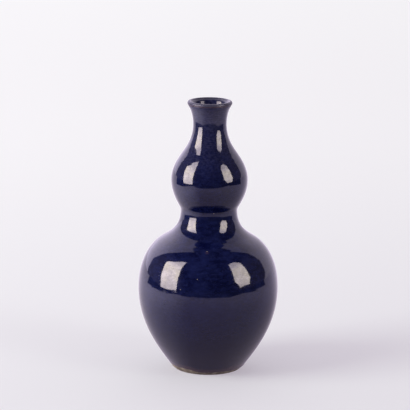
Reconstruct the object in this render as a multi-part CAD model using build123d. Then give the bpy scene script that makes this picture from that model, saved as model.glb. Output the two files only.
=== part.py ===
from build123d import *
import os
from math import cos, radians, sin

# Double gourd vase: two thrown sections luted at the waist, under a coat of glaze.
# Millimetres, +Z up, origin at the centre of the foot, on the surface that the vase stands on.
# The outline is the finished outer surface. Clay and lining lie inside it by named thicknesses.

# Foot ring and floor
foot_radius = 26.6
foot_ring_width = 4.2
foot_bevel_width = 2.55
foot_bevel_height = 1.6
foot_edge_round = 0.5
recess_taper = 0.9
recess_depth = 3.0
recess_corner_round = 1.4
floor_thickness = 5.2
floor_flat_radius = 14.0

# Lower bulb: each rise is the height gained since the station below
belly_radius = 55.45
belly_rise = 63.7
shoulder_radius = 38.35
shoulder_rise = 39.65
waist_radius = 22.3
waist_rise = 23.6

# Upper bulb, neck and lip
bulb_radius = 30.2
bulb_rise = 22.2
nape_radius = 19.65
nape_rise = 24.8
neck_radius = 13.2
neck_rise = 19.8
lip_radius = 17.65
lip_rise = 16.8
lip_roll_radius = 1.8

# Slopes of the outline, in degrees off the vertical
flank_slope = 30.8
shoulder_slope = 55.7
under_bulb_slope = 31.0
nape_slope = 34.8
lip_outer_slope = 33.4
lip_inner_slope = 26.0

# Fullness of each span: its lower and its upper tangent handle, as shares of the rise.
# They keep the curvature even where spans meet, so that a highlight runs on without a kink.
flank_share = (0.188, 0.512)
shoulder_share = (0.497, 0.297)
waist_share = (0.303, 0.666)
under_bulb_share = (0.311, 0.399)
nape_share = (0.414, 0.355)
neck_share = (0.145, 0.528)
lip_share = (0.309, 0.357)
throat_share = (0.420, 0.330)
floor_corner_share = (0.5, 0.4)

# Clay wall at each station, without its glaze
flank_wall = 6.0
belly_wall = 4.6
shoulder_wall = 4.2
waist_wall = 4.0
bulb_wall = 3.7
nape_wall = 3.4
neck_wall = 3.0

# Luted joint between the waist and the crease above it. The slip widens the crease a little
# on the outside, and squeezes a bead into the bore.
slip_thickness = 1.4
slip_flare = 0.25
slip_bead = 0.5

# Glaze coats
glaze_thickness = 0.45
rim_glaze_thickness = 0.3
lining_thickness = 0.35
base_glaze_thickness = 0.3
base_glaze_margin = 1.2
glaze_end_roll = 0.15

# Even steps along a span where the surfaces under the outline are set out
offset_steps = 6


def at(radius, height):
    """A point of the half section, in the plane that holds the axis."""
    return Vector(radius, 0, height)


def along(slope, length):
    """A run of the given length, that many degrees off the vertical and outwards."""
    return Vector(sin(radians(slope)), 0, cos(radians(slope))) * length


# Heights of the stations
belly_height = foot_bevel_height + belly_rise
shoulder_height = belly_height + shoulder_rise
waist_height = shoulder_height + waist_rise
crease_height = waist_height + slip_thickness
bulb_height = crease_height + bulb_rise
nape_height = bulb_height + nape_rise
neck_height = nape_height + neck_rise
lip_height = neck_height + lip_rise
floor_height = recess_depth + floor_thickness

# Radii that follow from the named sizes
recess_radius = foot_radius - foot_ring_width - recess_taper
bore_radius = waist_radius - glaze_thickness - waist_wall

# Stations of the outline, from the foot to the lip
flank_start = at(foot_radius + foot_bevel_width, foot_bevel_height)
belly = at(belly_radius, belly_height)
shoulder = at(shoulder_radius, shoulder_height)
waist = at(waist_radius, waist_height)
crease = at(waist_radius + slip_flare, crease_height)
bulb = at(bulb_radius, bulb_height)
nape = at(nape_radius, nape_height)
neck = at(neck_radius, neck_height)
lip_centre = at(lip_radius - lip_roll_radius, lip_height)

# Unit directions from the centre of the lip roll to where it meets each side of the wall
lip_outward = Vector(cos(radians(lip_outer_slope)), 0, -sin(radians(lip_outer_slope)))
lip_inward = Vector(-cos(radians(lip_inner_slope)), 0, sin(radians(lip_inner_slope)))
lip_upward = Vector(0, 0, 1)


def span(low, low_slope, high, high_slope, handle_share):
    """A smooth curve between two stations, with a set slope and fullness at each end."""
    rise = high.Z - low.Z
    low_handle = low + along(low_slope, handle_share[0] * rise)
    high_handle = high - along(high_slope, handle_share[1] * rise)
    return Bezier(low, low_handle, high_handle, high)


lip_start = lip_centre + lip_outward * lip_roll_radius
flank_span = span(flank_start, flank_slope, belly, 0, flank_share)
shoulder_span = span(belly, 0, shoulder, -shoulder_slope, shoulder_share)
waist_span = span(shoulder, -shoulder_slope, waist, 0, waist_share)
slip_line = Line(waist, crease)
under_bulb_span = span(crease, under_bulb_slope, bulb, 0, under_bulb_share)
nape_span = span(bulb, 0, nape, -nape_slope, nape_share)
neck_span = span(nape, -nape_slope, neck, 0, neck_share)
lip_span = span(neck, 0, lip_start, lip_outer_slope, lip_share)

# The throat is the finished inner surface, from the narrowest part of the neck up to the lip roll
throat_low = at(neck_radius - glaze_thickness - neck_wall - lining_thickness, neck_height)
throat_high = lip_centre + lip_inward * lip_roll_radius
throat_span = span(throat_low, 0, throat_high, lip_inner_slope, throat_share)


def under(curve, share, depth):
    """The point that lies square under a curve, where that share of the curve is passed."""
    tangent = curve % share
    inward = Vector(-tangent.Z, 0, tangent.X)
    return curve @ share + inward * depth


def inset(curve, low_depth, high_depth):
    """Points under a span, at a depth that changes evenly from its lower to its upper end."""
    points = []
    for step in range(1, offset_steps + 1):
        share = step / offset_steps
        depth = low_depth + (high_depth - low_depth) * share
        points.append(under(curve, share, depth))
    return points


def under_outline(curves, walls, depth):
    """Points under a run of spans, a depth beyond the wall named for each of their ends."""
    points = []
    for curve, low_wall, high_wall in zip(curves, walls, walls[1:]):
        points += inset(curve, low_wall + depth, high_wall + depth)
    return points


lower_spans = (flank_span, shoulder_span, waist_span)
lower_walls = (flank_wall, belly_wall, shoulder_wall, waist_wall)
upper_spans = (under_bulb_span, nape_span, neck_span)
upper_walls = (waist_wall, bulb_wall, nape_wall, neck_wall)


def lower_skin():
    """Outer face of the lower section's clay, from the glaze line at the foot to the waist."""
    no_walls = [0] * len(lower_walls)
    points = [under(flank_span, 0, glaze_thickness)]
    points += under_outline(lower_spans, no_walls, glaze_thickness)
    return Spline(*points)


def upper_skin():
    """Outer face of the upper section's clay, from the crease to the underside of the lip."""
    no_walls = [0] * (len(upper_walls) + 1)
    points = [crease - Vector(glaze_thickness, 0, 0)]
    points += under_outline(upper_spans + (lip_span,), no_walls, glaze_thickness)
    return Spline(*points)


def lower_cavity(depth):
    """Inside of the lower section, at a depth beyond its clay: zero for clay, or the lining."""
    return Spline(*under_outline(lower_spans, lower_walls, glaze_thickness + depth))


def floor_corner(wall_curve, depth):
    """The sweep from the level floor up into the wall of the lower section."""
    low = at(floor_flat_radius, floor_height + depth)
    high = wall_curve @ 0
    reach = (high - low).length
    low_handle = low + Vector(reach * floor_corner_share[0], 0, 0)
    high_handle = high - (wall_curve % 0) * reach * floor_corner_share[1]
    return Bezier(low, low_handle, high_handle, high)


def upper_cavity(depth):
    """Inside of the upper section and throat, at a depth beyond their clay."""
    points = [at(bore_radius - depth, crease_height)]
    points += under_outline(upper_spans, upper_walls, glaze_thickness + depth)
    points += inset(throat_span, depth - lining_thickness, depth - lining_thickness)
    return Spline(*points)


def bead_arc(depth):
    """Inner face of the slip bead, at a depth beyond the slip."""
    radius = bore_radius - depth
    crest = at(radius - slip_bead, waist_height + slip_thickness / 2)
    return ThreePointArc(at(radius, waist_height), crest, at(radius, crease_height))


def turned(*edges):
    """A solid turned about the axis from the closed half section that the edges make."""
    return revolve(make_face(list(edges)), Axis.Z, 360)


lower_skin_curve = lower_skin()
upper_skin_curve = upper_skin()
lower_clay_cavity = lower_cavity(0)
clay_floor_corner = floor_corner(lower_clay_cavity, 0)
upper_clay_cavity = upper_cavity(0)
clay_bead = bead_arc(0)

# Where the slip's faces meet the glaze outside, and the bore inside
slip_outer_low = waist - Vector(glaze_thickness, 0, 0)
slip_outer_high = crease - Vector(glaze_thickness, 0, 0)
slip_inner_low = at(bore_radius, waist_height)
slip_inner_high = at(bore_radius, crease_height)
slip_skin = Line(slip_outer_low, slip_outer_high)

# Clay face of the lip, under the rim glaze
lip_clay_outer = lip_centre + lip_outward * (lip_roll_radius - glaze_thickness)
lip_clay_crest = lip_centre + lip_upward * (lip_roll_radius - rim_glaze_thickness)
lip_clay_inner = lip_centre + lip_inward * (lip_roll_radius - lining_thickness)
lip_clay_arc = ThreePointArc(lip_clay_outer, lip_clay_crest, lip_clay_inner)


def lower_bulb():
    floor_edge = at(floor_flat_radius, floor_height)
    foot_line = FilletPolyline(
        at(0, recess_depth),
        at(recess_radius, recess_depth),
        at(foot_radius - foot_ring_width, 0),
        at(foot_radius, 0),
        lower_skin_curve @ 0,
        radius=[recess_corner_round, foot_edge_round, foot_edge_round],
    )
    return turned(
        *foot_line.edges(),
        lower_skin_curve,
        Line(slip_outer_low, slip_inner_low),
        lower_clay_cavity,
        clay_floor_corner,
        Line(floor_edge, at(0, floor_height)),
        Line(at(0, floor_height), at(0, recess_depth)),
    )


def upper_bulb():
    return turned(
        upper_skin_curve,
        lip_clay_arc,
        upper_clay_cavity,
        Line(slip_inner_high, slip_outer_high),
    )


def luting_slip():
    return turned(
        slip_skin,
        Line(slip_outer_high, slip_inner_high),
        clay_bead,
        Line(slip_inner_low, slip_outer_low),
    )


def outer_glaze():
    roll_middle = (flank_start + lower_skin_curve @ 0) / 2
    glaze_foot = ThreePointArc(
        flank_start,
        roll_middle - along(flank_slope, glaze_end_roll),
        lower_skin_curve @ 0,
    )
    return turned(
        flank_span,
        shoulder_span,
        waist_span,
        slip_line,
        under_bulb_span,
        nape_span,
        neck_span,
        lip_span,
        Line(lip_start, lip_clay_outer),
        upper_skin_curve,
        slip_skin,
        lower_skin_curve,
        glaze_foot,
    )


def rim_glaze():
    lip_crest = lip_centre + lip_upward * lip_roll_radius
    return turned(
        ThreePointArc(lip_start, lip_crest, throat_high),
        Line(throat_high, lip_clay_inner),
        lip_clay_arc,
        Line(lip_clay_outer, lip_start),
    )


def inner_glaze():
    lining_floor = floor_height + lining_thickness
    lower_lining = lower_cavity(lining_thickness)
    return turned(
        Line(at(0, floor_height), at(floor_flat_radius, floor_height)),
        clay_floor_corner,
        lower_clay_cavity,
        clay_bead,
        upper_clay_cavity,
        Line(lip_clay_inner, throat_high),
        upper_cavity(lining_thickness),
        bead_arc(lining_thickness),
        lower_lining,
        floor_corner(lower_lining, lining_thickness),
        Line(at(floor_flat_radius, lining_floor), at(0, lining_floor)),
        Line(at(0, lining_floor), at(0, floor_height)),
    )


def base_glaze():
    disc_radius = recess_radius - recess_corner_round - base_glaze_margin
    disc = Cylinder(disc_radius, base_glaze_thickness, align=(Align.CENTER, Align.CENTER, Align.MAX))
    return Pos(0, 0, recess_depth) * disc


nodes = {
    "lower_bulb": lower_bulb,
    "luting_slip": luting_slip,
    "upper_bulb": upper_bulb,
    "outer_glaze": outer_glaze,
    "rim_glaze": rim_glaze,
    "inner_glaze": inner_glaze,
    "base_glaze": base_glaze,
}

os.makedirs("parts", exist_ok=True)
for name, make in nodes.items():
    export_step(make(), f"parts/{name}.step")
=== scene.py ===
import math
from functools import partial

import bpy
import numpy as np
from bpy.props import FloatProperty, FloatVectorProperty, IntProperty, PointerProperty
from mathutils import Matrix, Vector, noise


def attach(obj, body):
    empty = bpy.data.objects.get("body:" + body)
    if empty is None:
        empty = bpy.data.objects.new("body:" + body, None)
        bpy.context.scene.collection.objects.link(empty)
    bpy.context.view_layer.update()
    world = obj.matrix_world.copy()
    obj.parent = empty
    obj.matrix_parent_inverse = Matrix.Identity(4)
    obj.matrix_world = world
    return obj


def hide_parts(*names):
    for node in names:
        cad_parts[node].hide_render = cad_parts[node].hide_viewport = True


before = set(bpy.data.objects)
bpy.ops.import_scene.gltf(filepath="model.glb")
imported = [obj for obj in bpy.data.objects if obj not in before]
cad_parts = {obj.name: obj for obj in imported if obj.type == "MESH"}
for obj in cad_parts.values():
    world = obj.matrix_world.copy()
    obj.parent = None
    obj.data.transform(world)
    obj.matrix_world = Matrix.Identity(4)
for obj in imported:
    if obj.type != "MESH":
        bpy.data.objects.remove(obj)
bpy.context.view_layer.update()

bl_info = {
    "name": "Double gourd vase",
    "version": (1, 0, 0),
    "blender": (4, 5, 0),
    "location": "View3D > Sidebar > Vase",
    "description": "Glazes the packed double gourd vase and sets it on a pale studio floor",
    "category": "Object",
}

MM = 0.001


def linear(code):
    """The linear colour of an sRGB hex code such as #10123a."""
    parts = [int(code[at : at + 2], 16) / 255 for at in (1, 3, 5)]
    return tuple(part / 12.92 if part <= 0.04045 else ((part + 0.055) / 1.055) ** 2.4 for part in parts)


def slope_way(slope):
    """The direction that many degrees off the vertical and outwards."""
    return Vector((math.sin(math.radians(slope)), math.cos(math.radians(slope))))


def square_to(slope):
    """The direction square to that slope, on its right as it rises."""
    return Vector((math.cos(math.radians(slope)), -math.sin(math.radians(slope))))


# The finished outer face, foot to lip, as the CAD source has it. Each span gives its two ends as radius and
# height in mm, the slope at each in degrees off the vertical, and how full it is there as shares of its rise.
LIP_CENTRE = Vector((15.85, 213.55))
LIP_ROLL = 1.8
LIP_OUTER_SLOPE = 33.4
LIP_INNER_SLOPE = 26.0
LIP_START = LIP_CENTRE + LIP_ROLL * square_to(LIP_OUTER_SLOPE)
THROAT_TOP = LIP_CENTRE - LIP_ROLL * square_to(LIP_INNER_SLOPE)
GLAZE_LINE = Vector((29.15, 1.6))
FOOT_SLOPE = 30.8
BELLY = Vector((55.45, 65.3))
SHOULDER = Vector((38.35, 104.95))
WAIST = Vector((22.3, 128.55))
CREASE = Vector((22.55, 129.95))
BULB = Vector((30.2, 152.15))
NAPE = Vector((19.65, 176.95))
NECK = Vector((13.2, 196.75))
SPANS = (
    (GLAZE_LINE, FOOT_SLOPE, BELLY, 0.0, (0.188, 0.512)),
    (BELLY, 0.0, SHOULDER, -55.7, (0.497, 0.297)),
    (SHOULDER, -55.7, WAIST, 0.0, (0.303, 0.666)),
    (WAIST, 10.1, CREASE, 10.1, (0.3, 0.3)),
    (CREASE, 31.0, BULB, 0.0, (0.311, 0.399)),
    (BULB, 0.0, NAPE, -34.8, (0.414, 0.355)),
    (NAPE, -34.8, NECK, 0.0, (0.145, 0.528)),
    (NECK, 0.0, LIP_START, LIP_OUTER_SLOPE, (0.309, 0.357)),
)
THROAT_SPAN = (Vector((9.4, 196.75)), 0.0, THROAT_TOP, LIP_INNER_SLOPE, (0.420, 0.330))

# Walls of the clay under each end of the spans, the coats on it, and the height and flat radius of the floor
# inside, all in mm
LOWER_WALLS = (6.0, 4.6, 4.2, 4.0)
UPPER_WALLS = (4.0, 3.7, 3.4, 3.0)
GLAZE = 0.45
LINING = 0.35
FLOOR_HEIGHT = 8.2
FLOOR_FLAT = 14.0
# Points on each span where the outline is worked out, and where the walls under it are
OUTLINE_POINTS = 400
WALL_POINTS = 60


def span_points(span, count):
    """Points along one span of the outline, in mm."""
    low, low_slope, high, high_slope, shares = span
    rise = high.y - low.y
    rising = low + slope_way(low_slope) * shares[0] * rise
    arriving = high - slope_way(high_slope) * shares[1] * rise
    along = np.linspace(0, 1, count)[:, None]
    weights = (1 - along) ** 3, 3 * along * (1 - along) ** 2, 3 * along**2 * (1 - along), along**3
    return sum(weight * np.array(handle) for weight, handle in zip(weights, (low, rising, arriving, high)))


def joined(runs):
    """One line of points from runs that share their ends."""
    return np.concatenate([runs[0]] + [run[1:] for run in runs[1:]])


def lengths_along(points):
    """How far each point is along its line."""
    steps = np.hypot(*np.diff(points, axis=0).T)
    return np.concatenate([[0], np.cumsum(steps)])


def evenly(points, spacing):
    """The same line with points at an even spacing."""
    length = lengths_along(points)
    wanted = np.linspace(0, length[-1], max(2, round(length[-1] / spacing) + 1))
    return np.stack([np.interp(wanted, length, points[:, axis]) for axis in (0, 1)], 1)


def outward(points):
    """Unit directions square to the line, on its right as it goes."""
    way = np.gradient(points, axis=0)
    way /= np.hypot(way[:, 0], way[:, 1])[:, None]
    return np.stack([way[:, 1], -way[:, 0]], 1)


def eased(points, centre, reach, softness):
    """The line with its corner at one point filled to a fillet, as glaze pools there."""
    length = lengths_along(points)
    middle = length[np.argmin(np.hypot(*(points - np.array(centre)).T))]
    steps = np.linspace(-2.5, 2.5, 21)
    bell = np.exp(-(steps**2) / 2)
    soft = sum(
        weight * np.stack([np.interp(length + step * softness, length, points[:, axis]) for axis in (0, 1)], 1)
        for weight, step in zip(bell / bell.sum(), steps)
    )
    share = np.exp(-(((length - middle) / reach) ** 4))[:, None]
    return points * (1 - share) + soft * share


def outer_line(form):
    """The finished outer face from the glaze line to the lip, with the crease pooled."""
    points = joined([span_points(span, OUTLINE_POINTS) for span in SPANS])
    return eased(points, CREASE, form.pool_reach / MM, form.pool_softness / MM)


def inset_line(spans, walls, extra):
    """The line under some spans, at walls that change evenly from end to end."""
    runs = []
    for span, low, high in zip(spans, walls, walls[1:]):
        points = span_points(span, WALL_POINTS)
        depth = np.linspace(low + extra, high + extra, len(points))[:, None]
        runs.append(points - outward(points) * depth)
    return joined(runs)


class GourdForm(bpy.types.PropertyGroup):
    """Sizes of the marks that throwing and glazing leave on the surface."""

    columns: IntProperty(name="Columns", description="Faces round the vase", default=304, min=48)
    row_spacing: FloatProperty(
        name="Row spacing", description="Height of a row of faces", default=1.0 * MM, unit="LENGTH", precision=5
    )
    pool_reach: FloatProperty(
        name="Pool reach", description="How far up and down the glaze pools in the waist crease",
        default=3.2 * MM, unit="LENGTH", precision=5,
    )
    pool_softness: FloatProperty(
        name="Pool softness", description="How round the pooled glaze makes the crease",
        default=1.2 * MM, unit="LENGTH", precision=5,
    )
    ring_height: FloatProperty(
        name="Throwing ring height", description="Depth of the rings that the fingers leave",
        default=0.010 * MM, unit="LENGTH", precision=6,
    )
    ring_spacing: FloatProperty(
        name="Throwing ring spacing", description="Height between two rings",
        default=4.6 * MM, unit="LENGTH", precision=5,
    )
    peel_height: FloatProperty(
        name="Glaze ripple height", description="Depth of the soft ripple in the fired glaze",
        default=0.016 * MM, unit="LENGTH", precision=6,
    )
    peel_size: FloatProperty(
        name="Glaze ripple size", description="Width of one ripple",
        default=4.2 * MM, unit="LENGTH", precision=5,
    )
    sway_height: FloatProperty(
        name="Hand sway", description="How far the wall wanders from a true circle",
        default=0.05 * MM, unit="LENGTH", precision=5,
    )
    lean: FloatProperty(
        name="Lean", description="How far the bulbs stand off one axis",
        default=0.25 * MM, unit="LENGTH", precision=5,
    )
    hollow_depth: FloatProperty(
        name="Front hollow", description="How much flatter the wall is in front, at the collar and the nape",
        default=0.33 * MM, unit="LENGTH", precision=5,
    )
    wipe_rise: FloatProperty(
        name="Wiped rise", description="How much higher the glaze was wiped off on one side of the foot",
        default=2.1 * MM, unit="LENGTH", precision=5,
    )
    wipe_wander: FloatProperty(
        name="Wiped wander", description="How far the wiped glaze edge wanders all round",
        default=0.6 * MM, unit="LENGTH", precision=5,
    )


class GourdFinish(bpy.types.PropertyGroup):
    """Colours of the fired clay and the glazes."""

    glaze_deep: FloatVectorProperty(
        name="Deep cobalt", description="Where the glaze is thick", subtype="COLOR", default=linear("#06082e")
    )
    glaze_thin: FloatVectorProperty(
        name="Thin cobalt", description="Where the glaze is thinner", subtype="COLOR", default=linear("#181c49")
    )
    # Partly painted glare: the neck's paler colour stands for glare from the lights on either side as well as
    # for the thinner glaze
    glaze_neck_and_glare: FloatVectorProperty(
        name="Neck cobalt", description="Where the glaze ran thin on the neck", subtype="COLOR",
        default=linear("#3a3759"),
    )
    glaze_low: FloatVectorProperty(
        name="Low cobalt", description="Where the dipped coat is evenest, on the lower wall", subtype="COLOR",
        default=linear("#12143a"),
    )
    # Painted shade: this darker colour towards the foot stands for less light on the down-facing lower wall
    glaze_foot_shade: FloatVectorProperty(
        name="Foot cobalt", description="Where the glaze pooled dull above the foot", subtype="COLOR",
        default=linear("#121329"),
    )
    glaze_fleck: FloatVectorProperty(
        name="Fleck", description="Fine paler flecks in the glaze", subtype="COLOR", default=linear("#2b2d55")
    )
    edge_brown: FloatVectorProperty(
        name="Edge brown", description="Where the glaze ran thin over an edge", subtype="COLOR",
        default=linear("#44303c"),
    )
    # Partly painted sheen: the grey of the crest stands for its thin coat and for the pale reflection on it
    rim_grey_sheen: FloatVectorProperty(
        name="Rim grey", description="The thin coat over the crest of the lip", subtype="COLOR",
        default=linear("#4a4558"),
    )
    clay: FloatVectorProperty(
        name="Clay", description="Bare fired clay", subtype="COLOR", default=linear("#a8948c")
    )
    clay_dark: FloatVectorProperty(
        name="Clay shade", description="Iron specks and soot in the clay", subtype="COLOR",
        default=linear("#74625b"),
    )
    foot_glaze: FloatVectorProperty(
        name="Foot glaze", description="Clear glaze on pale slip in the foot recess", subtype="COLOR",
        default=linear("#d8d4ca"),
    )


class GourdStage(bpy.types.PropertyGroup):
    """The pale floor, the studio light and the camera."""

    camera_distance: FloatProperty(
        name="Camera distance", description="Along the floor", default=1.76, unit="LENGTH"
    )
    camera_height: FloatProperty(
        name="Camera height", description="Above the floor", default=0.5279, unit="LENGTH"
    )
    softbox_left: FloatProperty(
        name="Left softbox", description="What the glaze mirrors of it, where white paper is 1", default=14.0
    )
    softbox_right: FloatProperty(
        name="Right softbox", description="What the glaze mirrors of it, where white paper is 1", default=9.0
    )
    left_light: FloatProperty(name="Left lamp", description="Radiance of the left lamp", default=6.8)
    right_light: FloatProperty(name="Right lamp", description="Radiance of the right lamp", default=2.95)
    back_light: FloatProperty(
        name="Back lamp", description="Light through the tent's back, in W/m2", default=0.64
    )
    tent_light: FloatProperty(
        name="Tent brightness", description="Light from the tent behind the vase", default=0.60
    )
    front_light: FloatProperty(
        name="Front brightness", description="Light from the camera's side", default=0.24
    )


# The settings of the kinds of node that have any here, apart from their operation
SETTINGS = {"Mix": {"data_type": "RGBA"}, "MapRange": {"interpolation_type": "SMOOTHSTEP"}}


def add_node(tree, kind, *values, inputs=None):
    """Adds a node with its settings and links, and gives its first output in use.

    kind is the end of the node's type, with the operation after a space where it has one. The values go to its
    inputs in use, in their order, and inputs gives more of them by name. Each is a value, or the output that
    feeds it.
    """
    kind, _, operation = kind.partition(" ")
    made = tree.nodes.new("ShaderNode" + kind)
    if operation:
        made.operation = operation
    for name, value in SETTINGS.get(kind, {}).items():
        setattr(made, name, value)
    in_use = [socket for socket in made.inputs if socket.enabled]
    named = [(made.inputs[name], value) for name, value in (inputs or {}).items()]
    for socket, value in [*zip(in_use, values), *named]:
        if isinstance(value, bpy.types.NodeSocket):
            tree.links.new(value, socket)
        else:
            socket.default_value = (*value, 1) if socket.type == "RGBA" else value
    return next((socket for socket in made.outputs if socket.enabled), None)


def new_material(name):
    """An empty node material, the function that adds a node to it, and the place on the piece in metres."""
    material = bpy.data.materials.new(name)
    material.use_nodes = True
    material.node_tree.nodes.clear()
    add = partial(add_node, material.node_tree)
    return material, add, add("TexCoord").node.outputs["Object"]


def per_metre(size_mm):
    """The texture scale that makes one pattern cell this many mm wide."""
    return 1 / (size_mm * MM)


def cells(add, place, size_mm, detail=2.0, stretch=(1, 1, 1), shift=(0, 0, 0)):
    """Soft random cells this many mm across; stretch above 1 makes them shorter that way."""
    mapped = add("Mapping", place, inputs={"Location": shift, "Scale": stretch})
    return add("TexNoise", mapped, inputs={"Scale": per_metre(size_mm), "Detail": detail, "Roughness": 0.55})


def aside_of(add, parts, place_mm):
    """How far a point is from an upright line at that place, in metres."""
    squares = []
    for part, middle in zip(parts, place_mm):
        off = add("Math SUBTRACT", part, middle * MM)
        squares.append(add("Math MULTIPLY", off, off))
    return add("Math SQRT", add("Math ADD", *squares))


# Specks in the glaze: place in mm, radius in mm, and whether iron has bled into a stain below it
SPECKS = (
    ((-1.2, -39.7, 103.9), 0.55, True),
    ((3.8, -22.2, 129.9), 0.45, False),
    ((-8.5, -52.0, 84.4), 0.40, False),
    ((-21.6, -50.2, 75.8), 0.40, False),
)
# Pale specks in the clay of the foot: place and radius in mm
CLAY_SPECKS = ((-17.9, -24.2, 3.1), 0.3), ((-19.6, -22.6, 2.2), 0.25), ((6.7, -28.0, 1.4), 0.3)
# Heights between which the dipped coat changes: from where each change begins to where it is full
MOTTLED = 122 * MM, 136 * MM
# Partly painted glare: the neck grows paler between these heights
NECK_THIN_AND_GLARE = 146 * MM, 192 * MM
EVENED = 84 * MM, 58 * MM
# Painted shade: the coat darkens towards the foot, where the lower wall faces down
FOOT_SHADE_HEIGHTS = 62 * MM, 15 * MM
# The brown line under the lip: the heights at which it comes and goes, and how far out from the axis it starts
LINE_FOOT = 211.9 * MM, 212.8 * MM
LINE_TOP = 213.9 * MM, 213.2 * MM
LINE_OUTSIDE = 16.2 * MM, 17.0 * MM
# The crest of the lip, painted greyer partly for its thin coat and partly as painted sheen, and its outside,
# where the thin coat is duller
LIP_CREST_SHEEN = 213.0 * MM, 213.9 * MM
LIP_OUTSIDE = 15.0 * MM, 16.4 * MM
LIP_HEIGHT = 208.5 * MM, 211.5 * MM
# The duller lining in the mouth, and a cone between the two faces of the neck that parts it from the outside:
# the radius less that share of the height
MOUTH_HEIGHT = 190 * MM, 198 * MM
CONE_SHARE = 0.25
CONE_EDGE = -37.6 * MM, -38.4 * MM
# The reddish edge above the bare foot: its heights, the rise where the glaze was wiped off higher, and how far
# up and around the second edge was drawn on the right
FOOT_EDGE = 5.6 * MM, 3.4 * MM
WIPED_RISE = 2.0 * MM
DRAWN_EDGE = 6.6 * MM, 4.2 * MM
DRAWN_RISE = 1.8 * MM
DRAWN_AROUND = 13 * MM, 5 * MM
# How far the lip's line and the foot's edge wander up and down
EDGE_WANDER = 1.6 * MM
# The iron stain hangs that far below its speck, and fades over this reach
STAIN_DROP = 2.0
STAIN_REACH = 2.6 * MM, 0.6 * MM
# The clay is darker around the wiped place
DARKER_CLAY_AROUND = 16 * MM, 8 * MM


def in_metres(place_mm):
    """A place in metres, from one in mm."""
    return tuple(part * MM for part in place_mm)


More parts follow.
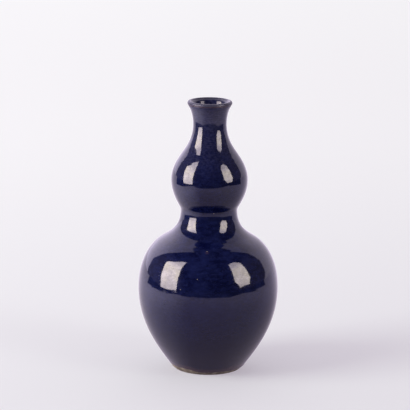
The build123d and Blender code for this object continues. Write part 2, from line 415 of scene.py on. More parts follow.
def cobalt_glaze(finish):
    """Cobalt blue gloss glaze, dipped over thrown clay and fired.

    It gives a deep navy with faint paler flecks and level bands, a wet gloss with a soft ripple, a thin brown
    line where it drew off the lip, a crest painted greyer, partly as painted sheen, and a reddish edge where it
    stops above the foot. The neck is painted paler, partly for its thinner coat and partly as painted glare,
    and the lower wall is painted darker towards the foot as painted shade.
    """
    material, add, place = new_material("cobalt_gloss_glaze_dipped")
    parts = add("SeparateXYZ", place).node.outputs
    height, away = parts[2], aside_of(add, parts, (0, 0))

    clouds = add("MapRange", cells(add, place, 11, 4.0), 0.36, 0.66)
    bands = add("MapRange", cells(add, place, 5, 3.0, (1, 1, 2.4)), 0.38, 0.66)
    flecks = add("MapRange", cells(add, place, 2.6, 3.0, (1, 1, 1.6)), 0.54, 0.74)
    tone = add("Math ADD", add("Math MULTIPLY", clouds, 0.5), add("Math MULTIPLY", bands, 0.5))
    colour = add("Mix", tone, finish.glaze_deep, finish.glaze_thin)
    colour = add("Mix", add("Math MULTIPLY", flecks, 0.30), colour, finish.glaze_fleck)
    # Dark mottling on the upper bulb and the neck, finer than a millimetre and drawn as coarse as shows
    fine = add("MapRange", cells(add, place, 1.5, 1.0, (1, 1, 1.3), (2, 7, 5)), 0.40, 0.66)
    upper = add("MapRange", height, *MOTTLED, 0.0, 0.65)
    colour = add("Mix", add("Math MULTIPLY", fine, upper), colour, finish.glaze_deep)
    mottle = add("MapRange", cells(add, place, 2.0, 3.0, (1, 1, 2.0), (9, 4, 2)), 0.34, 0.68, 0.3, 1.4)
    # Partly painted glare: the neck is painted paler and mottled, for its thinner coat and for glare
    neck = add("Math MULTIPLY", add("MapRange", height, *NECK_THIN_AND_GLARE, 0.0, 0.48), mottle)
    colour = add("Mix", neck, colour, finish.glaze_neck_and_glare)
    colour = add("Mix", add("MapRange", height, *EVENED, 0.0, 0.5), colour, finish.glaze_low)
    # Painted shade: darker towards the foot, where the lower wall faces down
    colour = add("Mix", add("MapRange", height, *FOOT_SHADE_HEIGHTS, 0.0, 0.7), colour, finish.glaze_foot_shade)

    # The lip: a brown line just below its outer edge, wandering a little, and a thinner coat over its crest,
    # painted greyer, partly as painted sheen
    wander = add("Math MULTIPLY", add("Math SUBTRACT", cells(add, place, 5, 2.0), 0.5), EDGE_WANDER)
    rim_height = add("Math ADD", height, wander)
    line = add("Math MULTIPLY", add("MapRange", rim_height, *LINE_FOOT), add("MapRange", rim_height, *LINE_TOP))
    line = add("Math MULTIPLY", line, add("MapRange", away, *LINE_OUTSIDE))
    colour = add("Mix", add("Math MULTIPLY", line, 0.8), colour, finish.edge_brown)
    crest = add("MapRange", height, *LIP_CREST_SHEEN)
    colour = add("Mix", add("Math MULTIPLY", crest, 0.7), colour, finish.rim_grey_sheen)

    # The reddish edge above the bare foot, which stands higher where the glaze was wiped off higher
    far, near = (reach * MM for reach in reversed(WIPE_REACH))
    wiped = add("MapRange", aside_of(add, parts, WIPE_PLACE), far, near, 0.0, WIPED_RISE)
    foot_height = add("Math ADD", add("Math SUBTRACT", height, wiped), wander)
    foot = add("MapRange", foot_height, *FOOT_EDGE)
    drawn = add("MapRange", aside_of(add, parts, THIN_PLACE), *DRAWN_AROUND, 0.0, DRAWN_RISE)
    thin = add("MapRange", add("Math SUBTRACT", foot_height, drawn), *DRAWN_EDGE)
    edge = add("Math MULTIPLY", add("Math MAXIMUM", foot, thin), 0.9)
    colour = add("Mix", edge, colour, finish.edge_brown)

    for centre, radius, stained in SPECKS:
        if stained:
            below = centre[0], centre[1], centre[2] - STAIN_DROP
            stain = add("VectorMath DISTANCE", place, in_metres(below))
            colour = add("Mix", add("MapRange", stain, *STAIN_REACH, 0.0, 0.7), colour, finish.edge_brown)
        spot = add("VectorMath DISTANCE", place, in_metres(centre))
        colour = add("Mix", add("MapRange", spot, radius * MM, radius * 0.6 * MM), colour, finish.clay)

    dry = add("MapRange", height, *LIP_HEIGHT, 0.0, 0.30)
    lip = add("Math MULTIPLY", add("MapRange", away, *LIP_OUTSIDE), dry)
    rough = add("Math ADD", add("MapRange", cells(add, place, 2.5, 2.0), 0.3, 0.75, 0.06, 0.075), lip)
    streaks = add("MapRange", cells(add, place, 2.4, 3.0, (1, 1, 2.5), (5, 2, 8)), 0.32, 0.68, 0.455, 0.545)
    cone = add("Math SUBTRACT", away, add("Math MULTIPLY", height, CONE_SHARE))
    mouth = add("MapRange", height, *MOUTH_HEIGHT, 0.0, 0.3)
    duller = add("Math MULTIPLY", add("MapRange", cone, *CONE_EDGE), mouth)
    gloss = add("Math MULTIPLY", streaks, add("Math SUBTRACT", 1.0, add("Math ADD", duller, lip)))

    # Orange peel finer than the modelled ripple
    peel = add("Bump", inputs={"Height": cells(add, place, 1.3, 1.0), "Distance": 0.002 * MM, "Strength": 1.0})
    shader = add("BsdfPrincipled", inputs={
        "Base Color": colour, "Roughness": rough, "Specular IOR Level": gloss, "IOR": 1.52, "Normal": peel,
    })
    add("OutputMaterial", shader)
    return material


def bare_clay(finish):
    """Bare stoneware clay, turned at the foot and fired.

    It gives a dry grey-tan surface with fine grit, darker iron specks and soot, and level turning lines.
    """
    material, add, place = new_material("stoneware_clay_turned")
    soot = add("MapRange", cells(add, place, 6, 4.0), 0.40, 0.62)
    # The grit is about 0.2 mm wide, and is drawn as coarse as it needs to show
    grit = add("MapRange", cells(add, place, 0.7, 3.0), 0.58, 0.72)
    colour = add("Mix", soot, finish.clay_dark, finish.clay)
    colour = add("Mix", grit, colour, finish.clay_dark)
    parts = add("SeparateXYZ", place).node.outputs
    # The clay is darker around the wiped place
    darker_clay = add("MapRange", aside_of(add, parts, WIPE_PLACE), *DARKER_CLAY_AROUND, 0.0, 0.25)
    colour = add("Mix", darker_clay, colour, finish.clay_dark)
    for centre, radius in CLAY_SPECKS:
        spot = add("VectorMath DISTANCE", place, in_metres(centre))
        colour = add("Mix", add("MapRange", spot, radius * MM, radius * 0.5 * MM), colour, finish.foot_glaze)
    lines = cells(add, place, 4.0, 2.0, (1, 1, 8))
    both = add("Math ADD", add("Math MULTIPLY", grit, 0.5), lines)
    relief = add("Bump", inputs={"Height": both, "Distance": 0.08 * MM, "Strength": 1.0})
    rough = add("MapRange", grit, 0, 1, 0.78, 0.92)
    shader = add("BsdfPrincipled", inputs={
        "Base Color": colour, "Roughness": rough, "IOR": 1.5, "Normal": relief,
    })
    add("OutputMaterial", shader)
    return material


def joining_slip(finish):
    """Slip of the same clay, brushed on wet to join the two sections and fired.

    It gives a smoother, slightly darker clay than the walls, with soft brushed waves.
    """
    material, add, place = new_material("clay_slip_brushed")
    waves = cells(add, place, 3.0, 2.0, (1, 1, 3))
    colour = add("Mix", add("MapRange", waves, 0.3, 0.7), finish.clay_dark, finish.clay)
    relief = add("Bump", inputs={"Height": waves, "Distance": 0.10 * MM, "Strength": 1.0})
    shader = add("BsdfPrincipled", inputs={"Base Color": colour, "Roughness": 0.8, "Normal": relief})
    add("OutputMaterial", shader)
    return material


def clear_foot_glaze(finish):
    """Clear gloss glaze, poured thin into the foot recess over pale slip.

    It gives an off-white gloss with faint grey clouds and a few pinholes.
    """
    material, add, place = new_material("clear_gloss_glaze_poured")
    clouds = add("MapRange", cells(add, place, 7, 3.0), 0.35, 0.7, 0.0, 0.35)
    holes = add("MapRange", cells(add, place, 1.1, 1.0), 0.72, 0.76)
    colour = add("Mix", clouds, finish.foot_glaze, finish.clay)
    colour = add("Mix", holes, colour, finish.clay_dark)
    relief = add("Bump", inputs={"Height": cells(add, place, 2.2, 1.0), "Distance": 0.02 * MM, "Strength": 1.0})
    shader = add("BsdfPrincipled", inputs={
        "Base Color": colour, "Roughness": 0.15, "IOR": 1.52, "Normal": relief,
    })
    add("OutputMaterial", shader)
    return material


# Heights in mm, and how much of the front hollow there is at each
HOLLOWS = (
    (95, 0), (100, 0.5), (105, 1), (108, 0.9), (113, 0.5), (119, 0.2), (127, 0),
    (160, 0), (171, 0.5), (173.2, 0.5), (174.6, 0.85), (178.5, 0.3), (184, 0),
)
# The uneven rings at the nape: their middle height, how far they reach and their spacing in mm, and their
# height as a share of the throwing rings'
NAPE_RINGS = (172.5, 4.5, 2.9, 2.2)
# Heights in mm, and how much of the lean to the right there is at each
LEAN = (
    (0, 0.6), (40, 0.2), (70, 0), (92, 0.3), (106, 0.6), (118, 0.6),
    (128, 0.4), (140, 1.1), (165, 1.1), (190, 0.8), (215, -0.4),
)
# Where the glaze was wiped off higher: place on the floor in mm, and where that begins and ends around it
WIPE_PLACE = (-20.5, -20.5)
WIPE_REACH = (9.0, 18.0)
# Where it was drawn thin, on the other side of the foot, in mm
THIN_PLACE = (21.0, -20.0)
# How far up the wall, in mm, the surface follows the wiped edge
EDGE_REACH = 16.0
# How the lower edge of the coat rounds off: how far up the wall, and how far under its face, in mm
EDGE_ROUND = ((0.0, 0.30), (0.12, 0.12), (0.32, 0.03))
# Widths of the waves in the wall, in mm: the slow swing of the rings, the sway, and the wiped edge's wander
SWING_SIZE = 14
SWAY_SIZE = 42
WANDER_SIZES = (8, 3)
# Spacing of the rows on the hidden back of the coat and on the lining, in mm
BACK_SPACING = 4.0
LINING_SPACING = 2.0
# The lip's coat: rows over its face, and how thick it is at its start, at a row near its crest and at its end
LIP_ROWS = 22
LIP_THINNEST_ROW = 8
LIP_GLAZE = (GLAZE, 0.3, LINING)


def relief_at(form, spot):
    """How far the surface at a spot lies under the true form, in metres. It is never above it."""
    finer = noise.noise(spot / (form.peel_size * 0.52) + Vector((7, 3, 1)))
    peel = noise.noise(spot / form.peel_size) + 0.25 * finer
    turn = math.atan2(spot.y, spot.x) / math.tau
    slow = noise.noise(Vector((spot.x, spot.y, spot.z * 2)) / (SWING_SIZE * MM))
    ring = math.sin(math.tau * (spot.z / form.ring_spacing + turn + 0.8 * slow))
    ring += 0.6 * math.sin(math.tau * (spot.z / (form.ring_spacing * 1.7) - turn + 0.5 * slow))
    sway = noise.noise(spot / (SWAY_SIZE * MM)) - 1
    middle, reach, spacing, share = NAPE_RINGS
    nape = share * math.exp(-(((spot.z / MM - middle) / reach) ** 2))
    ring += nape * (math.sin(math.tau * (spot.z / (spacing * MM) + 2 * turn + 1.2 * slow)) - 1)
    return form.peel_height * (peel - 1) + form.ring_height * (ring - 1.6) + form.sway_height * 0.5 * sway


def hollow_at(form, spot):
    """How far the front of the wall lies under the true form, in metres, above the bulb more on the left."""
    away = math.hypot(spot.x, spot.y)
    front, right = max(0.0, -spot.y / away), spot.x / away
    side_share = 0.9 - 0.4 * right if spot.z > BULB.y * MM else 1
    share = np.interp(spot.z / MM, *zip(*HOLLOWS))
    return form.hollow_depth * share * (0.25 + 0.75 * front * front) * side_share


def lean_at(form, height):
    """How far a ring at that height in metres is off the axis, as the two bulbs were joined a little askew."""
    shares = np.interp(height / MM, *zip(*LEAN))
    return Vector((form.lean * shares, 0, 0))


def wiped_at(form, spot):
    """How far up the glaze was wiped off the foot near a spot, in metres. It is never below the true edge."""
    away = math.hypot(spot.x - WIPE_PLACE[0] * MM, spot.y - WIPE_PLACE[1] * MM) / MM
    share = min(max((WIPE_REACH[1] - away) / (WIPE_REACH[1] - WIPE_REACH[0]), 0), 1)
    slow, quick = (noise.noise(Vector((spot.x, spot.y, 0)) / (size * MM)) for size in WANDER_SIZES)
    return form.wipe_rise * share * share * (3 - 2 * share) + form.wipe_wander * (1.9 + (slow + 0.5 * quick))


def placed(name, data):
    """A new object in the scene, from a mesh, a lamp or a camera."""
    made = bpy.data.objects.new(name, data)
    bpy.context.scene.collection.objects.link(made)
    return made


def turned_mesh(name, rows, columns, material, lift):
    """A piece made by turning a closed line of (radius, height) points in mm about the axis.

    lift(spot, normal, row) gives the shift of a point in metres. A row whose radius is zero becomes one point.
    """
    turns = np.linspace(0, math.tau, columns, endpoint=False)
    vertices, starts = [], []
    for number, ((radius, height), (out, up)) in enumerate(zip(rows, outward(rows))):
        starts.append(len(vertices))
        if radius < 1e-6:
            vertices.append(Vector((0, 0, height * MM)))
            continue
        for turn in turns:
            spot = Vector((radius * math.cos(turn), radius * math.sin(turn), height)) * MM
            normal = Vector((out * math.cos(turn), out * math.sin(turn), up))
            vertices.append(spot + lift(spot, normal, number))
    faces = []
    for number in range(len(rows)):
        following_row = (number + 1) % len(rows)
        low, high = starts[number], starts[following_row]
        low_point, high_point = rows[number][0] < 1e-6, rows[following_row][0] < 1e-6
        if low_point and high_point:
            continue
        for column in range(columns):
            following = (column + 1) % columns
            if low_point:
                faces.append((low, high + following, high + column))
            elif high_point:
                faces.append((low + column, low + following, high))
            else:
                faces.append((low + column, low + following, high + following, high + column))
    mesh = bpy.data.meshes.new(name)
    mesh.from_pydata([tuple(vertex) for vertex in vertices], [], faces)
    mesh.validate()
    mesh.shade_smooth()
    mesh.materials.append(material)
    piece = placed(name, mesh)
    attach(piece, "root")
    return piece


def material_named(name, make, finish):
    """The material of that name, made once."""
    return bpy.data.materials.get(name) or make(finish)


class GOURD_OT_outer_glaze(bpy.types.Operator):
    """Makes the cobalt coat from the foot to the lip, with its ripple, rings and wandering lower edge"""

    bl_idname = "gourd.outer_glaze"
    bl_label = "Outer glaze"

    def execute(self, context):
        form, finish = context.scene.gourd_form, context.scene.gourd_finish
        line = outer_line(form)
        even = evenly(line, form.row_spacing / MM)
        length = lengths_along(line)
        ups, depths = np.array(EDGE_ROUND).T
        start = np.stack([np.interp(ups, length, line[:, axis]) for axis in (0, 1)], 1)
        start -= outward(start) * depths[:, None]
        outer = np.concatenate([start, even[1:]])
        back = evenly(line, BACK_SPACING)
        inner = (back - outward(back) * GLAZE)[::-1]
        rows = np.concatenate([outer, inner])
        lengths = np.concatenate([lengths_along(outer), lengths_along(inner[::-1])[::-1]])

        def lift(spot, normal, row):
            """Ripple, rings and lean, and near the foot the wiped edge of the glaze."""
            shift = lean_at(form, spot.z)
            if row < len(outer):
                shift = shift + normal * (relief_at(form, spot) - hollow_at(form, spot))
            share = max(0.0, 1 - lengths[row] / EDGE_REACH) ** 2
            out, up = slope_way(FOOT_SLOPE)
            up_wall = Vector((spot.x, spot.y, 0)).normalized() * out + Vector((0, 0, up))
            return shift + up_wall * (wiped_at(form, spot) * share)

        piece = turned_mesh(
            "outer_glaze_coat", rows, form.columns,
            material_named("cobalt_gloss_glaze_dipped", cobalt_glaze, finish), lift,
        )
        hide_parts("outer_glaze")
        return {"FINISHED"}


class GOURD_OT_rim_glaze(bpy.types.Operator):
    """Makes the thin glaze over the lip"""

    bl_idname = "gourd.rim_glaze"
    bl_label = "Rim glaze"

    def execute(self, context):
        form, finish = context.scene.gourd_form, context.scene.gourd_finish
        angles = np.radians(np.linspace(-LIP_OUTER_SLOPE, 180 - LIP_INNER_SLOPE, LIP_ROWS))
        ways = np.stack([np.cos(angles), np.sin(angles)], 1)
        outer = np.array(LIP_CENTRE) + ways * LIP_ROLL
        depth = np.interp(angles, angles[[0, LIP_THINNEST_ROW, -1]], LIP_GLAZE)[:, None]
        inner = (np.array(LIP_CENTRE) + ways * (LIP_ROLL - depth))[::-1]
        rows = np.concatenate([outer, inner])

        def lift(spot, normal, row):
            """The same ripple and lean as the coat, so that the two meet."""
            return lean_at(form, spot.z) + normal * (relief_at(form, spot) if row < len(outer) else 0)

        piece = turned_mesh(
            "rim_glaze_band", rows, form.columns,
            material_named("cobalt_gloss_glaze_dipped", cobalt_glaze, finish), lift,
        )
        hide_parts("rim_glaze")
        return {"FINISHED"}


class GOURD_OT_inner_glaze(bpy.types.Operator):
    """Makes the lining of the inside, floor to lip"""

    bl_idname = "gourd.inner_glaze"
    bl_label = "Inner glaze"

    def execute(self, context):
        form, finish = context.scene.gourd_form, context.scene.gourd_finish
        floor = np.array([(share * FLOOR_FLAT, FLOOR_HEIGHT) for share in (0.0, 0.5, 1.0)])
        # The wall's first points lie under the floor
        lower = inset_line(SPANS[:3], LOWER_WALLS, GLAZE)[6:]
        upper = inset_line(SPANS[4:7], UPPER_WALLS, GLAZE)
        throat = span_points(THROAT_SPAN, WALL_POINTS)
        throat = throat + outward(throat) * LINING
        clay = evenly(joined([floor, lower, upper[1:], throat[3:]]), LINING_SPACING)
        clay[0, 0] = 0
        face = clay - outward(clay) * LINING
        face[0, 0] = 0
        rows = np.concatenate([clay, face[::-1]])

        def lift(spot, normal, row):
            """Throwing rings, felt from inside."""
            inside = len(clay) <= row < len(rows) - 1
            return lean_at(form, spot.z) + normal * (-relief_at(form, spot) * 0.5 if inside else 0)

        piece = turned_mesh(
            "inner_glaze_lining", rows, form.columns // 2,
            material_named("cobalt_gloss_glaze_dipped", cobalt_glaze, finish), lift,
        )
        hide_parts("inner_glaze")
        return {"FINISHED"}


class GOURD_OT_clay(bpy.types.Operator):
    """Gives the clay sections, the joining slip and the foot recess their fired finishes"""

    bl_idname = "gourd.clay"
    bl_label = "Clay sections"

    def execute(self, context):
        finish = context.scene.gourd_finish
        clay = material_named("stoneware_clay_turned", bare_clay, finish)
        slip = material_named("clay_slip_brushed", joining_slip, finish)
        foot = material_named("clear_gloss_glaze_poured", clear_foot_glaze, finish)
        finishes = {"lower_bulb": clay, "upper_bulb": clay, "luting_slip": slip, "base_glaze": foot}
        for node, material in finishes.items():
            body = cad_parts[node]
            body.data.materials.clear()
            body.data.materials.append(material)
        return {"FINISHED"}


def stage_mesh(name, corners, material):
    """A flat stage piece through some corners."""
    mesh = bpy.data.meshes.new(name)
    mesh.from_pydata(corners, [], [tuple(range(len(corners)))])
    mesh.materials.append(material)
    piece = placed(name, mesh)
    return piece


FLOOR_REACH = 40
BLACK = (0, 0, 0)
BACKDROP = linear("#f6f4f7")
# The paper near the camera and at the back, and its grain. Painted light: the paper is painted darker near the
# camera and brighter at the back.
PAPER_NEAR_SHADED = linear("#b8b7b9")
PAPER_BACK_LIT = linear("#cecdcd")
PAPER_GRAIN = linear("#b2aab5")
# Painted light: the paper's own lilac glow that fills its shadow, near the camera and at the back, brighter at
# the back
PAINTED_FILL_GLOW = (0.304, 0.256, 0.325), (0.604, 0.598, 0.616)
# Where the floor turns into the backdrop, in metres: out from the vase, and to either side
HORIZON = 2.4, 7.0
SIDE_HORIZON = 0.5, 1.2
# Painted reflection: what the floor shows the glaze in place of itself, at each side of the vase, beside it and
# that many metres away
PAINTED_REFLECTION_REACH = 0.45
LEFT_PAINTED_REFLECTION_REACH = 0.37
PAINTED_REFLECTION_FRONT = (0.42, 0.34, 0.47), (0.67, 0.57, 0.78)
PAINTED_REFLECTION_RIGHT = (0.45, 0.38, 0.48), (0.76, 0.66, 0.90)
PAINTED_REFLECTION_LEFT = (0.63, 0.54, 0.68), (1.68, 1.52, 2.02)
PAINTED_REFLECTION_BACK = (0.85, 0.76, 0.86), (1.22, 1.08, 1.32)
# Painted reflection: the edges of a table that the floor shows the glaze, in metres, and the painted dark
# beyond them
TABLE_FRONT = -0.59, -0.53
TABLE_LEFT = -0.68, -0.60
TABLE_RIGHT = 0.88, 0.78
PAINTED_DARK_OFF_TABLE = (0.05, 0.05, 0.06)


def floor_paper():
    """Seamless studio paper, matt and pale lilac grey, with painted light that makes it brighter towards the
    back.

    It keeps the soft shadow of the vase, which its own painted lilac glow fills, brighter towards the back and
    a little darker to the right. In the glaze it shows a painted reflection in place of itself, darker in
    front, where the camera stands, which ends in painted dark where a table would end.
    """
    material, add, place = new_material("studio_paper_rolled")
    across, back, _ = add("SeparateXYZ", place).node.outputs
    # Painted light: the paper is painted darker near the camera and brighter at the back
    colour = add("Mix", add("MapRange", back, -0.3, 1.1), PAPER_NEAR_SHADED, PAPER_BACK_LIT)
    grain = add("MapRange", cells(add, place, 3, 3.0), 0.3, 0.7, 0.0, 0.03)
    colour = add("Mix", grain, colour, PAPER_GRAIN)
    away, aside = add("VectorMath LENGTH", place), add("Math ABSOLUTE", across)
    horizon = add("Math MAXIMUM", add("MapRange", away, *HORIZON), add("MapRange", aside, *SIDE_HORIZON))
    colour = add("Mix", horizon, colour, BLACK)

    # Painted reflection: what the floor shows the glaze, by the direction from the vase
    far = add("MapRange", away, 0.0, PAINTED_REFLECTION_REACH)
    sideways, backwards = add("Math DIVIDE", across, away), add("Math DIVIDE", back, away)
    seen = add("Mix", far, *PAINTED_REFLECTION_FRONT)
    seen = add("Mix", add("MapRange", sideways, 0.25, 0.95), seen, add("Mix", far, *PAINTED_REFLECTION_RIGHT))
    left = add("Mix", add("MapRange", away, 0.0, LEFT_PAINTED_REFLECTION_REACH), *PAINTED_REFLECTION_LEFT)
    seen = add("Mix", add("MapRange", sideways, -0.42, -1.1), seen, left)
    turned = add("Math SUBTRACT", backwards, add("MapRange", sideways, -0.3, 0.3, 0.15, 0.42))
    seen = add("Mix", add("MapRange", turned, 0.0, 0.65), seen, add("Mix", far, *PAINTED_REFLECTION_BACK))
    front_edge = add("MapRange", back, *TABLE_FRONT)
    sides = add("Math MULTIPLY", add("MapRange", across, *TABLE_LEFT), add("MapRange", across, *TABLE_RIGHT))
    start = add("MapRange", across, -0.1, 0.1, 0.42, 0.25)
    behind = add("MapRange", add("Math SUBTRACT", backwards, start), 0.0, 0.04)
    on_table = add("Math MAXIMUM", add("Math MULTIPLY", front_edge, sides), behind)
    seen = add("Mix", on_table, PAINTED_DARK_OFF_TABLE, seen)

    path = add("LightPath").node.outputs
    # Painted light: the paper glows lilac for the camera, brighter towards the back and a little darker to the
    # right, filling the vase's shadow
    glow = add("Mix", add("MapRange", back, -1.2, 3.0), *PAINTED_FILL_GLOW)
    glow = add("Mix", add("MapRange", across, -0.4, 0.4, 0.0, 0.06), glow, BLACK)
    glow = add("Mix", horizon, glow, BACKDROP)
    glow = add("Mix", path["Is Camera Ray"], BLACK, glow)
    # Glossy rays see only the painted reflection, not the lit paper; the camera sees the paper with its painted
    # glow
    shader = add("BsdfPrincipled", inputs={
        "Base Color": add("Mix", path["Is Glossy Ray"], colour, BLACK), "Roughness": 0.95,
        "Specular IOR Level": 0.0, "Emission Strength": 1.0,
        "Emission Color": add("Mix", path["Is Glossy Ray"], glow, seen),
    })
    add("OutputMaterial", shader)
    return material


# The two softboxes: how far they stand from the vase in metres, and their corners as the turn from the camera's
# side in degrees, right positive, and the height in metres
SOFTBOX_DISTANCE = 1.3
LEFT_SOFTBOX = (-83, 0.004), (-52.3, 0.02), (-54.5, 1.66), (-83, 1.10), (-92, 0.88)
RIGHT_SOFTBOX = (
    (44, 1.30), (45, 0.40), (53, 0.15), (71, 0.17), (75, 0.36), (70.5, 1.22), (62, 1.50), (51, 1.50),
)
# The lamp behind each: its turn, height and distance, and its width and height in metres
LEFT_LAMP = (-70, 1.0, 2.0), (1.2, 1.9)
RIGHT_LAMP = (60, 1.1, 2.0), (0.8, 1.7)
# The light through the back of the tent: its turn, height and distance, and how wide it looks in degrees
TENT_LAMP = (180, 0.85, 1.6)
TENT_LAMP_ANGLE = 50
LAMP_COLOUR = (0.90, 1.0, 0.88)
LAMP_TARGET = Vector((0, 0, 0.1))
# The lamp's glow through the cloth comes and goes at these heights in metres, from pink to warm
CLOTH_FOOT = -0.15, 0.45
CLOTH_TOP = 1.35, 0.75
CLOTH_PINK = (0.99, 0.86, 0.92)
CLOTH_WARM = (1.03, 0.90, 0.81)


def softbox_front(name, level):
    """Lit cloth of a softbox.

    It gives the glaze its window-like lights: warm and brightest in front of the bulb, and pinker and dimmer
    towards the top and bottom, with the soft folds of used cloth. It is seen in the glaze once, and not in the
    mirror of a mirror.
    """
    material, add, place = new_material(name)
    height = add("SeparateXYZ", place).node.outputs[2]
    lamp = add("Math MULTIPLY", add("MapRange", height, *CLOTH_FOOT), add("MapRange", height, *CLOTH_TOP))
    patches = add("Math MULTIPLY", lamp, add("MapRange", cells(add, place, 330, 2.0), 0.3, 0.7, 0.4, 1.2))
    tint = add("Mix", patches, CLOTH_PINK, CLOTH_WARM)
    waves = cells(add, place, 210, 2.0, shift=(3, 1, 2))
    folds = add("MapRange", waves, 0.3, 0.7, 0.88 * level, 1.10 * level)
    once = add("Math LESS_THAN", add("LightPath").node.outputs["Ray Depth"], 1.5)
    lit = add("MapRange", lamp, 0.0, 1.0, 0.62, 1.0)
    bright = add("Math MULTIPLY", add("Math MULTIPLY", folds, once), lit)
    add("OutputMaterial", add("Emission", tint, bright))
    return material


def around(turn, height, distance):
    """A point that many degrees round from the camera's side."""
    angle = math.radians(turn)
    return (distance * math.sin(angle), -distance * math.cos(angle), height)


# What the glaze mirrors of the room: how soft the tent's edges are, its cloth, and the dim room in front
TENT_EDGE = -0.02, 0.02
TENT_LEFT = (1.95, 1.74, 2.24)
TENT_RIGHT = (1.03, 0.91, 1.11)
TENT_TOP = (0.25, 0.22, 0.30)
ROOM_DIM = (0.03, 0.03, 0.035)
ROOM_LEFT = (0.24, 0.22, 0.34)
ROOM_RIGHT = (0.13, 0.11, 0.14)
# The tint of the light that the room gives
ROOM_FILL = (1.02, 0.96, 1.05)


def room_world(stage):
    """A pale tent behind and beside the vase, open at the top, and a dim room in front of it.

    All its numbers are parts of a unit direction: to the right, back and up.
    """
    world = bpy.data.worlds.new("studio_room")
    world.use_nodes = True
    world.node_tree.nodes.clear()
    add = partial(add_node, world.node_tree)
    across, back, up = add("SeparateXYZ", add("TexCoord").node.outputs["Generated"]).node.outputs
    # Both side edges of the tent lean forwards as they rise, the left one more
    cubed = add("Math POWER", add("Math MAXIMUM", up, 0.0), 3.0)
    right_start = add("MapRange", up, -0.08, 0.15, 0.29, 0.46)
    right_lean = add("Math SUBTRACT", right_start, add("Math MULTIPLY", cubed, 0.15))
    left_lean = add("Math MINIMUM", add("Math SUBTRACT", 0.945, add("Math MULTIPLY", up, 0.79)), 0.75)
    right = add("Math SUBTRACT", back, add("Math MULTIPLY", across, right_lean))
    left = add("Math ADD", back, add("Math MULTIPLY", across, left_lean))
    # A gap in its roof, just behind the vase's top
    aside = add("Math ABSOLUTE", add("Math SUBTRACT", across, add("Math MULTIPLY", up, 0.075)))
    beside = add("Math SUBTRACT", aside, add("Math MULTIPLY", up, 0.345))
    behind = add("Math SUBTRACT", back, add("Math MULTIPLY", up, 0.25))
    right, left, beside, behind = (add("MapRange", edge, *TENT_EDGE) for edge in (right, left, beside, behind))
    roof = add("Math MAXIMUM", beside, behind)
    tent = add("Math MULTIPLY", add("Math MINIMUM", right, left), roof)
    wall = add("Mix", add("MapRange", across, -0.65, 0.35), TENT_LEFT, TENT_RIGHT)
    wall = add("Mix", add("MapRange", up, 0.48, 0.92, 0.0, 0.55), wall, TENT_TOP)
    dim = add("Mix", add("MapRange", across, -0.60, -0.90), ROOM_DIM, ROOM_LEFT)
    dim = add("Mix", add("MapRange", across, 0.60, 0.90), dim, ROOM_RIGHT)
    room = add("Mix", tent, dim, wall)
    path = add("LightPath").node.outputs
    lit = add("MapRange", back, -0.5, 0.6, stage.front_light, stage.tent_light)
    seen = add("Mix", path["Is Glossy Ray"], add("VectorMath SCALE", ROOM_FILL, lit), room)
    seen = add("Mix", path["Is Camera Ray"], seen, BACKDROP)
    add("OutputWorld", add("Background", seen, 1.0))
    return world


def area_lamp(name, level, stand, size):
    """A soft lamp of that radiance."""
    lamp = bpy.data.lights.new(name, "AREA")
    lamp.shape, lamp.size, lamp.size_y = "RECTANGLE", *size
    lamp.energy = level * math.pi * lamp.size * lamp.size_y
    aim_light(lamp, stand)


def aim_light(lamp, stand):
    """Stands a light there, aimed at the vase and not mirrored in it."""
    lamp.color = LAMP_COLOUR
    light = placed(lamp.name, lamp)
    light.location = stand
    light.rotation_euler = (LAMP_TARGET - Vector(stand)).to_track_quat("-Z", "Y").to_euler()
    light.visible_glossy = light.visible_camera = False


# The camera's lens and sensor in mm, how far it sees and stands aside in metres, and its turns in degrees
CAMERA_LENS = 200.66
CAMERA_SENSOR = 36
CAMERA_FAR = 50
CAMERA_ASIDE = -0.00313
CAMERA_DOWN = 12.687
CAMERA_ROLL = 0.55


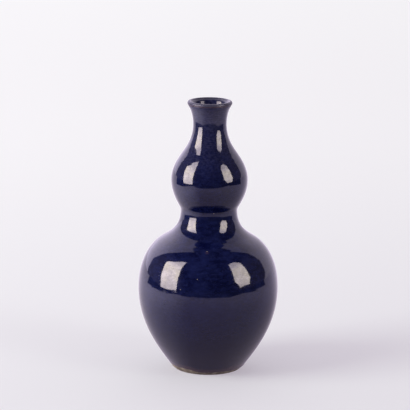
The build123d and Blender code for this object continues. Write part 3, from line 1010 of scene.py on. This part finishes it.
class GOURD_OT_stage(bpy.types.Operator):
    """Sets the pale floor, the two softboxes, the dim room and the camera"""

    bl_idname = "gourd.stage"
    bl_label = "Stage"

    def execute(self, context):
        stage = context.scene.gourd_stage
        ends = (-1, -1), (1, -1), (1, 1), (-1, 1)
        corners = [(x * FLOOR_REACH, y * FLOOR_REACH, 0) for x, y in ends]
        stage_mesh("studio_floor", corners, floor_paper())
        sides = (
            ("softbox_left", LEFT_SOFTBOX, stage.softbox_left, stage.left_light, LEFT_LAMP),
            ("softbox_right", RIGHT_SOFTBOX, stage.softbox_right, stage.right_light, RIGHT_LAMP),
        )
        for name, corners, mirrored, level, (stand, size) in sides:
            corners = [around(*corner, SOFTBOX_DISTANCE) for corner in corners]
            card = stage_mesh(name, corners, softbox_front(name + "_cloth_lit", mirrored))
            card.visible_camera = card.visible_diffuse = card.visible_shadow = False
            area_lamp(name + "_lamp", level, around(*stand), size)
        tent = bpy.data.lights.new("tent_lamp", "SUN")
        tent.energy, tent.angle = stage.back_light, math.radians(TENT_LAMP_ANGLE)
        aim_light(tent, around(*TENT_LAMP))
        context.scene.world = room_world(stage)

        camera = bpy.data.cameras.new("camera")
        camera.lens, camera.sensor_width, camera.clip_end = CAMERA_LENS, CAMERA_SENSOR, CAMERA_FAR
        eye = placed("camera", camera)
        place = Matrix.Translation((CAMERA_ASIDE, -stage.camera_distance, stage.camera_height))
        tilt = Matrix.Rotation(math.radians(90 - CAMERA_DOWN), 4, "X")
        eye.matrix_world = place @ tilt @ Matrix.Rotation(math.radians(CAMERA_ROLL), 4, "Z")
        context.scene.camera = eye
        context.scene.view_settings.view_transform = "Standard"
        return {"FINISHED"}


class GOURD_PT_panel(bpy.types.Panel):
    """Lists the steps that dress the vase"""

    bl_idname = "GOURD_PT_panel"
    bl_label = "Double gourd vase"
    bl_space_type = "VIEW_3D"
    bl_region_type = "UI"
    bl_category = "Vase"

    def draw(self, context):
        for step in STEPS:
            self.layout.operator(step.bl_idname)
        for group in (context.scene.gourd_form, context.scene.gourd_finish, context.scene.gourd_stage):
            for name in group.bl_rna.properties.keys():
                if name not in ("name", "rna_type"):
                    self.layout.prop(group, name)


STEPS = (GOURD_OT_outer_glaze, GOURD_OT_rim_glaze, GOURD_OT_inner_glaze, GOURD_OT_clay, GOURD_OT_stage)
CLASSES = (GourdForm, GourdFinish, GourdStage, *STEPS, GOURD_PT_panel)


def register():
    for made in CLASSES:
        bpy.utils.register_class(made)
    bpy.types.Scene.gourd_form = PointerProperty(type=GourdForm)
    bpy.types.Scene.gourd_finish = PointerProperty(type=GourdFinish)
    bpy.types.Scene.gourd_stage = PointerProperty(type=GourdStage)


def unregister():
    del bpy.types.Scene.gourd_form, bpy.types.Scene.gourd_finish, bpy.types.Scene.gourd_stage
    for made in reversed(CLASSES):
        bpy.utils.unregister_class(made)


def main():
    register()
    bpy.ops.gourd.outer_glaze()
    bpy.ops.gourd.rim_glaze()
    bpy.ops.gourd.inner_glaze()
    bpy.ops.gourd.clay()
    bpy.ops.gourd.stage()


if __name__ == "__main__":
    main()
